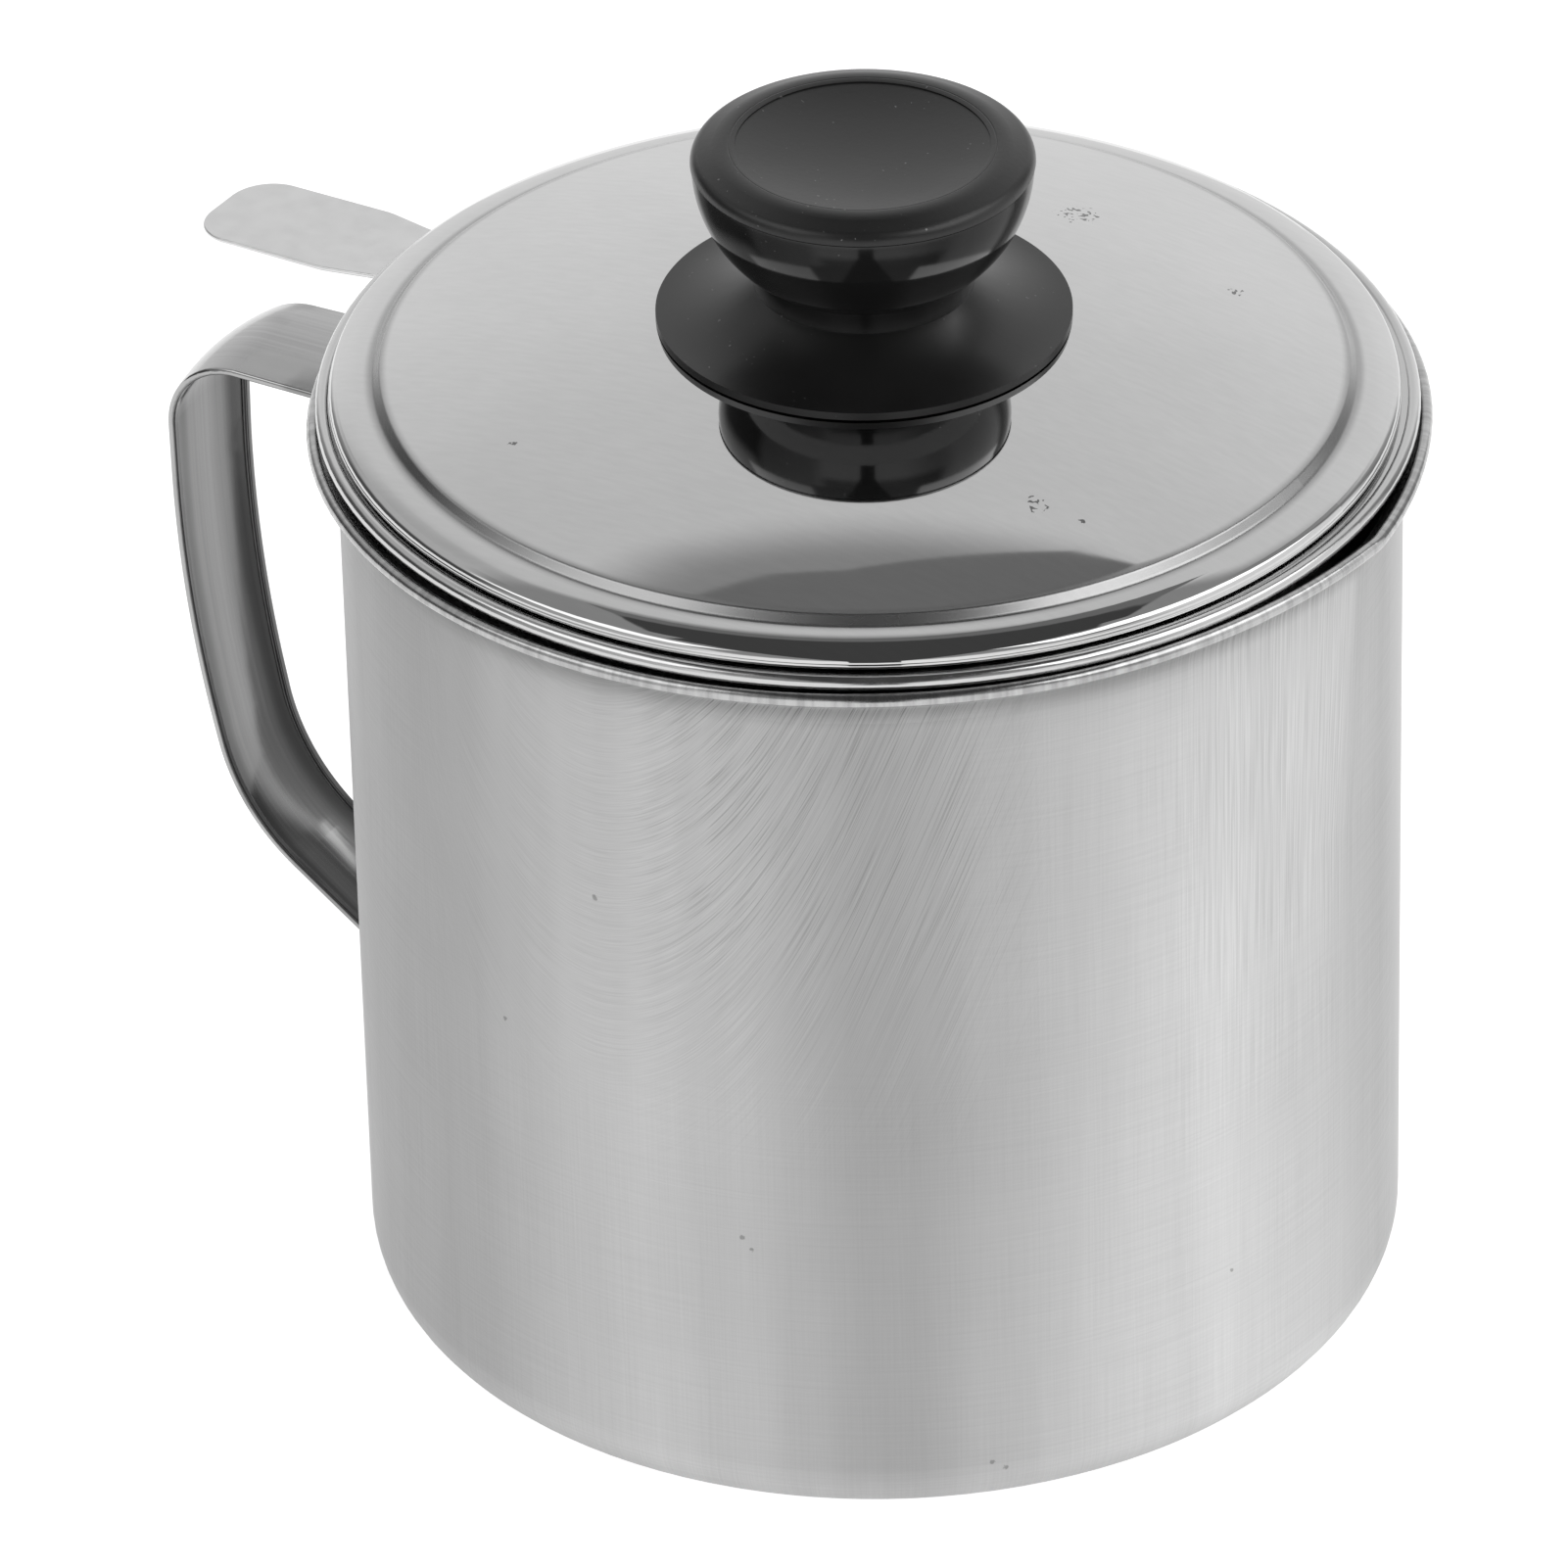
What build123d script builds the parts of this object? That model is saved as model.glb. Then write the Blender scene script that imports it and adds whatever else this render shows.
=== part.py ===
from build123d import *
import math
import os

# Bacon grease container: a drawn steel can with a strap handle, a drop-in strainer
# and a loose domed lid. Sizes are in millimetres. The origin is on the can's axis at
# the underside of its base, +Z is up, the handle points to -X, the pouring lip to +X.

# Can
can_radius = 60.0  # outside of the straight wall
can_sheet = 0.7
can_corner = 7.2  # outside radius between base and wall
can_rim_z = 110.57  # centre of the rolled rim
can_bead = 0.8  # section radius of the rolled rim
can_flare = 2.45  # from the wall's skin out to the centre of the rolled rim
can_flare_radius = 6.2  # bend of the flare, on its inner skin

# Pouring lip, a pointed bulge pressed into the rim
lip_push = 1.4  # how far its tip stands out of the wall's circle
lip_half_angle = 28.0
lip_fade = 38.0  # from the rolled rim down to where the crease dies out
lip_crease = 5.0  # radius of the crease

# Handle, a pressed strap with edges folded in
handle_top_width = 18.6  # the strap tapers along its whole length
handle_low_width = 13.5
handle_sheet = 0.55
handle_depth = 1.75  # over the folded edges
handle_crown = 0.93  # rise of the strap's back in its middle
handle_fold = 1.1  # width of a folded edge
handle_edge_radius = 0.4
handle_fold_radius = 0.18
handle_rim_drop = 10.12  # from the can's rolled rim down to the strap's back
handle_reach = 29.6  # from the can's wall out to the strap's back
handle_corner = 10.79
handle_waist_rise = 28.45  # from the knee up to where the grip starts to lean in
handle_waist_radius = 165.0
handle_knee_x = 23.62  # from the can's wall out to the lower knee
handle_knee_z = 37.49
handle_knee_radius = 25.96
handle_low_z = 19.41  # where the strap's back meets the can's wall
weld_gap = 0.05
foot_sheet = 0.8
foot_width = 13.0
foot_length = 13.0
foot_corner = 3.0
weld_spot = 1.7
weld_spot_depth = 0.25
weld_spot_spacing = 6.4

# Strainer basket
seat_gap = 0.24  # between the rolled rims of basket and can
basket_sheet = 0.5
basket_clearance = 1.2  # between basket and can wall
basket_depth = 26.0
basket_corner = 6.0
basket_bead = 0.9
basket_bead_inset = 1.25  # how far its rolled rim's centre lies inside the can's
basket_flange_dip = 0.2
basket_flange_bend = 1.2
ledge_width = 11.6
mesh_thickness = 0.35
mesh_gap = 0.01  # above and below it
mesh_overlap = 2.4
ring_sheet = 0.6
ring_width = 4.6

# How basket and lid sit: a little askew, higher on the handle's side
seat_rise = 0.75
seat_lean = 1.0  # degrees
seat_lean_turn = 156.0  # degrees round to the high side
seat_shift = 0.25  # towards the high side
lid_shift = 0.32  # of the lid on the basket
lid_shift_turn = 210.0  # degrees

# Lifting tab, joined to the outside of the basket's rolled rim
tab_turn = -2.75  # degrees, because the basket sits slightly turned in the can
tab_sheet = 0.5
tab_drop = 0.34  # from the rolled rim's centre down to the tab's face
tab_droop = 1.8  # degrees
tab_root_gap = 0.08
tab_reach = 25.7  # from the basket's rolled rim to the tip
tab_width = 14.7
tab_neck_width = 12.0
tab_neck_length = 6.9
tab_neck_radius = 8.0
tab_tip_radius = 5.2
tab_edge = 0.2

# Lid
lid_sheet = 0.6
lid_seat_gap = 0.25
lid_inset = 0.95  # from the basket's rolled rim centre in to the lid's hem
lid_hem = 0.45  # section radius of the hem
lid_hem_step = 0.1  # how far the hem stands out of the lid's side
lid_side_height = 1.24  # from the lid's lowest edge to the shoulder's corner
lid_side_radius = 0.9
lid_shoulder_width = 5.85  # from the hem's outside to the dome's edge
lid_shoulder_drop = 0.95  # step down from the dome to the shoulder
lid_shoulder_foot = 0.9  # width of that step
lid_shoulder_rise = 1.31  # height of the sloping shoulder
lid_shoulder_crown = 0.45
lid_shoulder_radius = 10.0
lid_step_radius = 0.8
lid_edge_radius = 0.6  # round at the dome's edge
lid_dome_radius = 215.0
lid_flat_radius = 7.5  # flat seat for the knob

# Knob
skirt_radius = 23.34
skirt_edge = 0.9
skirt_gap = 0.1  # between the skirt's edge and the dome
skirt_height = 3.74  # from the edge's top to the seat of the bowl
skirt_wall = 1.5
skirt_sag = 0.9  # hollow of its upper face
skirt_under_sag = 0.35
skirt_hub_radius = 6.5
neck_radius = 12.45
neck_height = 2.6
neck_step = 0.35  # how far the bowl's foot stands out of the neck
bowl_radius = 19.1
bowl_height = 14.9  # from the neck's seat to the parting line
bowl_bulge = 1.65
bowl_wall = 2.0
bowl_floor = 2.4
boss_radius = 6.2
boss_height = 10.4
rib_thickness = 1.4
rib_height = 8.0
rib_count = 4
cap_parting = 0.15
cap_overhang = 0.12  # how far the cap stands out of the bowl
cap_height = 2.3
cap_side_height = 1.0  # up to where its crown starts to slope in
cap_edge_radius = 1.35
cap_crest_width = 3.62  # from the cap's outside in to its crest
cap_brow_width = 4.97  # from the cap's outside in to its dish
cap_brow_drop = 0.3
cap_brow_radius = 4.0
cap_plate = 1.6
dish_step = 0.15
dish_depth = 1.5
spigot_gap = 0.3
spigot_wall = 1.4
spigot_depth = 2.4

# Knob fixing
screw_radius = 2.4
screw_clearance = 0.35
screw_length = 12.0
screw_head_radius = 4.6
screw_head_height = 2.9
recess_width = 1.1
recess_span = 5.0
recess_depth = 1.5
washer_radius = 6.0
washer_sheet = 1.0
insert_radius = 3.9
insert_length = 8.6
insert_depth = 0.9  # plastic left below the insert
insert_fit = 0.05  # around the insert and around the screw in its bore
insert_groove = 0.4

# Levels and radii that follow from the sizes above
can_inside = can_radius - can_sheet
handle_top_z = can_rim_z - handle_rim_drop
basket_bead_radius = can_radius + can_flare - basket_bead_inset
basket_rim_z = can_rim_z + math.sqrt((can_bead + basket_bead + seat_gap) ** 2 - basket_bead_inset**2)
basket_outside = can_inside - basket_clearance
basket_inside = basket_outside - basket_sheet
flange_z = basket_rim_z + basket_bead - basket_flange_dip
ledge_z = flange_z - basket_depth
ledge_radius = basket_inside - ledge_width
lid_radius = basket_bead_radius - lid_inset
lid_low_z = flange_z + lid_seat_gap
dome_edge_radius = lid_radius - lid_shoulder_width
dome_edge_z = lid_low_z + lid_side_height + lid_shoulder_rise + lid_shoulder_drop


def dome_drop(radius):
    """How far the dome's skin lies below its flat seat at this radius."""
    seat = math.sqrt(lid_dome_radius**2 - lid_flat_radius**2)
    return seat - math.sqrt(lid_dome_radius**2 - radius**2)


crown_z = dome_edge_z + dome_drop(dome_edge_radius)
skirt_edge_z = crown_z - dome_drop(skirt_radius - skirt_edge) + skirt_gap
skirt_top_z = skirt_edge_z + skirt_edge + skirt_height
parting_z = skirt_top_z + bowl_height


def polar(radius, degrees):
    """Point at this radius and angle."""
    angle = math.radians(degrees)
    return radius * math.cos(angle), radius * math.sin(angle)


def turned(section):
    """Body of revolution about Z from a section drawn as (radius, height)."""
    return revolve(Plane.XZ * section, Axis.Z)


def bent_sheet(line, thickness, side=Side.LEFT):
    """Section of a bent sheet: one skin as a line, thickened to one side."""
    return make_face(offset(line, thickness, side=side, closed=True))


def standing(radius, height):
    """Cylinder that stands on the plane z = 0."""
    return Cylinder(radius, height, align=(Align.CENTER, Align.CENTER, Align.MIN))


def filled(*edges):
    """Section bounded by these edges."""
    return make_face(Curve() + list(edges))


# ---- can ----


def lip_arcs():
    """Plan of the can's skin at the rim: centre, radius, start and size of each arc."""
    tip = can_radius + lip_push
    reach = (tip**2 - can_radius**2) / (2 * (can_radius - tip * math.cos(math.radians(lip_half_angle))))
    side_radius = can_radius + reach
    back, across = polar(reach, lip_half_angle)
    crease_x = math.sqrt((side_radius - lip_crease) ** 2 - across**2) - back
    crease_angle = math.degrees(math.atan2(across, crease_x + back))
    side = lip_half_angle - crease_angle
    return [
        ((0, 0), can_radius, lip_half_angle, 360 - 2 * lip_half_angle),
        ((-back, across), side_radius, -lip_half_angle, side),
        ((crease_x, 0), lip_crease, -crease_angle, 2 * crease_angle),
        ((-back, -across), side_radius, crease_angle, side),
    ]


def rim_plan(grow, z):
    """The can's plan at the rim, moved outwards by grow."""
    arcs = [CenterArc(centre, radius + grow, start, size) for centre, radius, start, size in lip_arcs()]
    return Pos(0, 0, z) * Wire(arcs)


def round_plan(grow, z):
    """A circle split where the arcs of the rim's plan meet."""
    centre, radius, start, size = lip_arcs()[2]
    edge_x, edge_y = polar(radius, size / 2)
    crease = math.degrees(math.atan2(edge_y, centre[0] + edge_x))
    stops = [lip_half_angle, 360 - lip_half_angle, 360 - crease, 360 + crease, 360 + lip_half_angle]
    arcs = [
        CenterArc((0, 0), can_radius + grow, low, high - low) for low, high in zip(stops, stops[1:])
    ]
    return Pos(0, 0, z) * Wire(arcs)


def rim_section():
    """Flare and rolled rim, drawn as (distance outside the wall's skin, height)."""
    bend_x = can_flare_radius - can_sheet
    inside = can_flare_radius - can_bead
    rise = math.sqrt(inside**2 - (bend_x - can_flare) ** 2)
    foot_z = can_rim_z - rise
    turn = math.degrees(math.acos((bend_x - can_flare) / inside))
    centre = (bend_x, foot_z)
    inner = CenterArc(centre, can_flare_radius, 180, -turn)
    outer = CenterArc(centre, can_flare_radius - can_sheet, 180, -turn)
    flare = filled(inner, outer, Line(inner @ 0, outer @ 0), Line(inner @ 1, outer @ 1))
    return flare + Pos(can_flare, can_rim_z) * Circle(can_bead), foot_z


def can_body():
    """Drawn can with its pouring lip and rolled rim."""
    fade_z = can_rim_z - lip_fade
    skin = FilletPolyline((0, 0), (can_radius, 0), (can_radius, fade_z), radius=[can_corner])
    body = turned(bent_sheet(skin, can_sheet))
    section, flare_z = rim_section()
    outer = Solid.make_loft([round_plan(0, fade_z), rim_plan(0, flare_z)], ruled=True)
    inner = Solid.make_loft(
        [round_plan(-can_sheet, fade_z), rim_plan(-can_sheet, flare_z)], ruled=True
    )
    body += outer - inner
    for centre, radius, start, size in lip_arcs():
        along_x, along_y = polar(1, start)
        plane = Plane(origin=(*centre, 0), x_dir=(along_x, along_y, 0), z_dir=(along_y, -along_x, 0))
        profile = plane * Pos(radius, 0) * section
        body += revolve(profile, Axis((*centre, 0), (0, 0, 1)), size)
    return body


# ---- handle ----


def handle_section(width):
    """Strap section: x across the strap, y from its back towards the hand's side."""
    half = width / 2
    fold = half - handle_fold
    arc_half = fold - 2 * handle_fold_radius
    slope = math.atan(handle_crown / (half - arc_half / 2))
    crown_radius = arc_half / math.sin(slope)
    apex = crown_radius - crown_radius / math.cos(slope)
    under = apex + handle_sheet / math.cos(slope)
    shoulder = apex + half * math.tan(slope)
    corner = under + fold * math.tan(slope)
    outline = FilletPolyline(
        (fold, handle_depth),
        (half, handle_depth),
        (half, shoulder),
        (0, apex),
        (-half, shoulder),
        (-half, handle_depth),
        (-fold, handle_depth),
        (-fold, corner),
        (0, under),
        (fold, corner),
        radius=[
            handle_fold_radius,
            handle_edge_radius,
            handle_edge_radius,
            crown_radius,
            handle_edge_radius,
            handle_edge_radius,
            handle_fold_radius,
            handle_fold_radius,
            crown_radius - handle_sheet,
            handle_fold_radius,
        ],
        close=True,
    )
    return make_face(outline)


def handle_path():
    """Line of the strap's back, in the plane of the handle, from top to bottom."""
    start = -math.sqrt(can_radius**2 - handle_top_width**2)
    back = -can_radius - handle_reach
    waist_z = handle_knee_z + handle_waist_rise
    slope = (handle_knee_z - handle_low_z) / handle_knee_x
    lean = math.atan2(handle_reach - handle_knee_x, handle_waist_rise)
    knee_turn = math.pi / 2 - math.atan(slope) - lean
    above = handle_top_z - handle_corner - waist_z
    below = handle_waist_rise / math.cos(lean) - handle_knee_radius * math.tan(knee_turn / 2)
    waist_limit = 0.99 * min(above, below) / math.tan(lean / 2)
    points = [
        (start, handle_top_z),
        (back, handle_top_z),
        (back, waist_z),
        (-can_radius - handle_knee_x, handle_knee_z),
        (start, handle_low_z - slope * (start + can_radius)),
    ]
    radii = [handle_corner, min(handle_waist_radius, waist_limit), handle_knee_radius]
    return Plane.XZ * FilletPolyline(*points, radius=radii)


def weld_foot(top_z):
    """Tongue that lies on the can's wall below top_z, with two spot-weld dimples."""
    inner = can_radius + weld_gap
    outer = inner + foot_sheet
    middle = top_z - foot_length / 2
    plate = extrude(
        Plane.YZ.offset(-can_radius / 2)
        * Pos(0, middle)
        * RectangleRounded(foot_width, foot_length, foot_corner),
        -can_radius,
    )
    shell = Cylinder(outer, 2 * can_rim_z) - Cylinder(inner, 2 * can_rim_z)
    foot = plate & shell
    for side in (-1, 1):
        spot_y = side * weld_spot_spacing / 2
        face_x = -math.sqrt(outer**2 - spot_y**2)
        spot = Rot(0, 90, 0) * Cylinder(weld_spot, 2 * weld_spot_depth)
        foot -= Pos(face_x, spot_y, middle - foot_corner / 2) * spot
    return foot


def handle():
    """Strap handle with its two weld feet."""
    path = handle_path()
    top = Plane(origin=path @ 0, x_dir=(0, -1, 0), z_dir=-(path % 0))
    low = Plane(origin=path @ 1, x_dir=(0, -1, 0), z_dir=-(path % 1))
    sections = [top * handle_section(handle_top_width), low * handle_section(handle_low_width)]
    strap = sweep(sections, path=path, multisection=True)
    strap -= Cylinder(can_radius + weld_gap, 2 * can_rim_z)
    return strap + weld_foot(handle_top_z - handle_sheet / 2) + weld_foot(handle_low_z + foot_sheet)


# ---- strainer ----


def strainer_bowl():
    """Basket: rolled rim, flange, straight wall and the ledge that carries the mesh."""
    line = FilletPolyline(
        (basket_bead_radius, flange_z),
        (basket_inside, flange_z),
        (basket_inside, ledge_z),
        (ledge_radius, ledge_z),
        radius=[basket_flange_bend, basket_corner - basket_sheet],
    )
    bead = Pos(basket_bead_radius, basket_rim_z) * Circle(basket_bead)
    return turned(bent_sheet(line, basket_sheet) + bead)


def strainer_mesh():
    """Disc of woven wire cloth under the ledge."""
    low = ledge_z - basket_sheet - mesh_gap - mesh_thickness
    return Pos(0, 0, low) * standing(ledge_radius + mesh_overlap, mesh_thickness)


def mesh_ring():
    """Flat ring that clamps the mesh to the ledge."""
    low = ledge_z - basket_sheet - 2 * mesh_gap - mesh_thickness - ring_sheet
    ring = standing(ledge_radius + ring_width, ring_sheet) - standing(ledge_radius, ring_sheet)
    return Pos(0, 0, low) * ring


def strainer_tab():
    """Flat paddle whose root follows the basket's rolled rim."""
    root = basket_bead_radius + basket_bead
    tip = root + tab_reach
    half = tab_width / 2
    neck = tab_neck_width / 2
    shoulder = root + tab_neck_length
    outline = FilletPolyline(
        (-basket_bead_radius, neck),
        (-root, neck),
        (-shoulder, half),
        (-tip, half),
        (-tip, -half),
        (-shoulder, -half),
        (-root, -neck),
        (-basket_bead_radius, -neck),
        radius=[0, tab_neck_radius, tab_tip_radius, tab_tip_radius, tab_neck_radius, 0],
    )
    face = filled(outline, Line(outline @ 0, outline @ 1))
    plate = extrude(face, -tab_sheet)
    rims = plate.edges().filter_by_position(Axis.X, -2 * tip, -shoulder)
    plate = fillet(rims.filter_by(Plane.XY), tab_edge)
    plate = Pos(-root, 0, basket_rim_z - tab_drop) * Rot(0, -tab_droop, 0) * Pos(root, 0, 0) * plate
    plate -= Pos(0, 0, basket_rim_z) * Torus(basket_bead_radius, basket_bead + tab_root_gap)
    return Rot(0, 0, tab_turn) * plate


# ---- lid ----


def lid_shell():
    """Pressed lid: flat knob seat, dome, stepped shoulder, side and rolled hem."""
    side = lid_radius - lid_hem_step
    hem_z = lid_low_z + lid_hem
    corner_z = lid_low_z + lid_side_height
    shoulder_z = corner_z + lid_shoulder_rise
    shoulder_r = dome_edge_radius + lid_shoulder_foot
    middle_r = (shoulder_r + side) / 2
    middle_z = (shoulder_z + corner_z) / 2 + lid_shoulder_crown
    seat = Line((0, crown_z), (lid_flat_radius, crown_z))
    dome = RadiusArc(seat @ 1, (dome_edge_radius, dome_edge_z), lid_dome_radius)
    shoulder = FilletPolyline(
        dome @ 1,
        (shoulder_r, shoulder_z),
        (middle_r, middle_z),
        (side, corner_z),
        (side, 0),
        radius=[lid_step_radius, lid_shoulder_radius, lid_side_radius],
    )
    plug = filled(seat, dome, shoulder, Polyline(shoulder @ 1, (0, 0), seat @ 0))
    edge = plug.vertices().sort_by_distance(dome @ 1)[0]
    plug = fillet(edge, lid_edge_radius)
    sheet = plug - offset(plug, -lid_sheet, kind=Kind.INTERSECTION)
    bore = screw_radius + screw_clearance
    sheet &= Pos(bore, hem_z) * Rectangle(can_radius * 2, crown_z, align=(Align.MIN, Align.MIN))
    hem = Pos(lid_radius - lid_hem, hem_z) * Circle(lid_hem)
    return turned(sheet + hem)


# ---- knob ----


def knob_skirt():
    """Trumpet-shaped guard with a hub that stands on the lid."""
    bore = screw_radius + screw_clearance
    low = skirt_edge_z
    high = skirt_top_z
    under = high - skirt_wall
    edge_top = low + skirt_edge
    lip = skirt_radius - skirt_edge
    flare = SagittaArc((neck_radius, high), (skirt_radius, edge_top), -skirt_sag)
    hollow = SagittaArc((lip, low), (neck_radius, under), skirt_under_sag)
    outline = [
        Polyline((bore, crown_z), (bore, high), (neck_radius, high)),
        flare,
        Polyline((skirt_radius, edge_top), (skirt_radius, low), (lip, low)),
        hollow,
        Polyline(
            (neck_radius, under),
            (skirt_hub_radius, under),
            (skirt_hub_radius, crown_z),
            (bore, crown_z),
        ),
    ]
    return turned(filled(*outline))


def knob_body():
    """Hollow bowl of the knob with its neck, boss and ribs."""
    low = skirt_top_z
    floor = low + bowl_floor
    step_z = low + neck_height
    foot = neck_radius + neck_step
    mouth = bowl_radius - bowl_wall
    inside_foot = foot - bowl_wall
    outline = [
        Polyline((0, floor), (0, low), (neck_radius, low), (neck_radius, step_z), (foot, step_z)),
        SagittaArc((foot, step_z), (bowl_radius, parting_z), -bowl_bulge),
        Line((bowl_radius, parting_z), (mouth, parting_z)),
        SagittaArc((mouth, parting_z), (inside_foot, step_z), bowl_bulge),
        Polyline((inside_foot, step_z), (inside_foot, floor), (0, floor)),
    ]
    body = turned(filled(*outline))
    body += Pos(0, 0, floor) * standing(boss_radius, boss_height)
    rib_span = inside_foot + bowl_wall / 2
    rib = Box(rib_span, rib_thickness, rib_height, align=(Align.MIN, Align.CENTER, Align.MIN))
    for index in range(rib_count):
        body += Pos(0, 0, floor) * Rot(0, 0, 360 * index / rib_count) * rib
    body -= Pos(0, 0, low + insert_depth) * standing(insert_radius + insert_fit, insert_length)
    return body - Pos(0, 0, low) * standing(screw_radius + screw_clearance, insert_depth)


def knob_cap():
    """Crowned cap with a dished middle and a spigot inside the bowl."""
    low = parting_z + cap_parting
    high = low + cap_height
    outside = bowl_radius + cap_overhang
    dish_radius = outside - cap_brow_width
    brow_z = high - cap_brow_drop
    dish_edge_z = brow_z - dish_step
    dish_z = dish_edge_z - dish_depth
    spigot_outside = bowl_radius - bowl_wall - spigot_gap
    spigot_inside = spigot_outside - spigot_wall
    spigot_z = parting_z - spigot_depth
    under_z = dish_z - cap_plate
    crown = FilletPolyline(
        (dish_radius, brow_z),
        (outside - cap_crest_width, high),
        (outside, low + cap_side_height),
        (outside, low),
        radius=[cap_brow_radius, cap_edge_radius],
    )
    outline = [
        Line((0, under_z), (0, dish_z)),
        TangentArc((0, dish_z), (dish_radius, dish_edge_z), tangent=(1, 0)),
        Line((dish_radius, dish_edge_z), (dish_radius, brow_z)),
        crown,
        Polyline(
            (outside, low),
            (spigot_outside, low),
            (spigot_outside, spigot_z),
            (spigot_inside, spigot_z),
            (spigot_inside, under_z),
            (0, under_z),
        ),
    ]
    return turned(filled(*outline))


# ---- knob fixing ----


def knob_insert():
    """Threaded bush in the bowl's boss, grooved to hold in the plastic."""
    low = skirt_top_z + insert_depth
    bore = screw_radius + insert_fit
    neck = insert_radius - insert_groove
    third = insert_length / 3
    section = filled(
        Polyline(
            (bore, low),
            (insert_radius, low),
            (insert_radius, low + third),
            (neck, low + third + insert_groove),
            (neck, low + 2 * third - insert_groove),
            (insert_radius, low + 2 * third),
            (insert_radius, low + insert_length),
            (bore, low + insert_length),
            (bore, low),
        )
    )
    return turned(section)


def screw_washer():
    """Flat washer under the lid."""
    washer = standing(washer_radius, washer_sheet)
    washer -= standing(screw_radius + screw_clearance, washer_sheet)
    return Pos(0, 0, crown_z - lid_sheet - washer_sheet) * washer


def lid_screw():
    """Pan head screw, up through washer and lid into the knob."""
    screw = standing(screw_head_radius, screw_head_height)
    low_rim = screw.edges().sort_by(Axis.Z)[0]
    screw = fillet(low_rim, screw_head_height / 2)
    screw += Pos(0, 0, screw_head_height) * standing(screw_radius, screw_length)
    for turn in (0, 90):
        screw -= Rot(0, 0, turn) * Box(recess_span, recess_width, 2 * recess_depth)
    return Pos(0, 0, crown_z - lid_sheet - washer_sheet - screw_head_height) * screw


def seated(shape):
    """Set a piece that is drawn level on the axis to how basket and lid sit."""
    shift_x, shift_y = polar(seat_shift, seat_lean_turn)
    lean = Rot(0, 0, seat_lean_turn) * Rot(0, -seat_lean, 0) * Rot(0, 0, -seat_lean_turn)
    return Pos(shift_x, shift_y, can_rim_z + seat_rise) * lean * Pos(0, 0, -can_rim_z) * shape


def on_basket(shape):
    """Set a piece of the lid to where the lid sits on the basket."""
    return seated(Pos(*polar(lid_shift, lid_shift_turn)) * shape)


can_nodes = {
    "can_body": can_body,
    "handle": handle,
}
strainer_nodes = {
    "strainer_bowl": strainer_bowl,
    "strainer_mesh": strainer_mesh,
    "mesh_ring": mesh_ring,
    "strainer_tab": strainer_tab,
}
lid_nodes = {
    "lid_shell": lid_shell,
    "knob_skirt": knob_skirt,
    "knob_body": knob_body,
    "knob_cap": knob_cap,
    "knob_insert": knob_insert,
    "screw_washer": screw_washer,
    "lid_screw": lid_screw,
}

os.makedirs("parts", exist_ok=True)
for name, build in can_nodes.items():
    export_step(build(), f"parts/{name}.step")
for name, build in strainer_nodes.items():
    export_step(seated(build()), f"parts/{name}.step")
for name, build in lid_nodes.items():
    export_step(on_basket(build()), f"parts/{name}.step")
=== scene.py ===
import math

import bpy
import numpy as np
from mathutils import Matrix, Vector


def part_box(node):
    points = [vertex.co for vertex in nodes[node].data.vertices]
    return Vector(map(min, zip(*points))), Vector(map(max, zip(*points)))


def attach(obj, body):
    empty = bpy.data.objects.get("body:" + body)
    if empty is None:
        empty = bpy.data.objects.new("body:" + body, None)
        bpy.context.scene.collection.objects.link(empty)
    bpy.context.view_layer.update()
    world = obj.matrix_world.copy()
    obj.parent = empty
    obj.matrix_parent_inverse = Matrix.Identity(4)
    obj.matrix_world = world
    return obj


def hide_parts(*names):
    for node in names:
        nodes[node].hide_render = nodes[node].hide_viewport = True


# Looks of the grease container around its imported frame. Lengths are in metres unless they say mm.

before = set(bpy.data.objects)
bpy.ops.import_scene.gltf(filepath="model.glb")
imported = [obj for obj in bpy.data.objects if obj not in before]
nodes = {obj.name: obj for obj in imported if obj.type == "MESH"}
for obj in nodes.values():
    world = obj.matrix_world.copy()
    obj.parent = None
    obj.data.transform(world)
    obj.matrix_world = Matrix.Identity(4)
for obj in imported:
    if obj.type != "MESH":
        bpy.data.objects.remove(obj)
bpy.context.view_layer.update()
MM = 0.001

# View
FRAME_SIDE = 1601  # pixels of the square picture
FOCAL_PIXELS = 12026
SENSOR = 36.0
VIEW_TURN = 30.0  # degrees about Z, from looking along +Y
VIEW_RISE = 31.83
VIEW_ROLL = 1.446
VIEW_DISTANCE = 1.3504
VIEW_TARGET = Vector((0, 0, 0.060))
VIEW_OFF = (-0.01063, 0.00131)  # sideways and upwards, in the picture's plane
VIEW_END = 50

RIM_OVERHANG = 3.25 * MM  # how far the can's rolled rim stands out of its wall
CAN_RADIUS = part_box("can_body")[1].y - RIM_OVERHANG


def view_axes():
    """Unit vectors to the picture's right, to its top and into it, before the roll."""
    turn, rise = math.radians(VIEW_TURN), math.radians(VIEW_RISE)
    right = Vector((math.cos(turn), math.sin(turn), 0))
    ahead = Vector((-math.sin(turn) * math.cos(rise), math.cos(turn) * math.cos(rise), -math.sin(rise)))
    return right, right.cross(ahead), ahead


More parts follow.
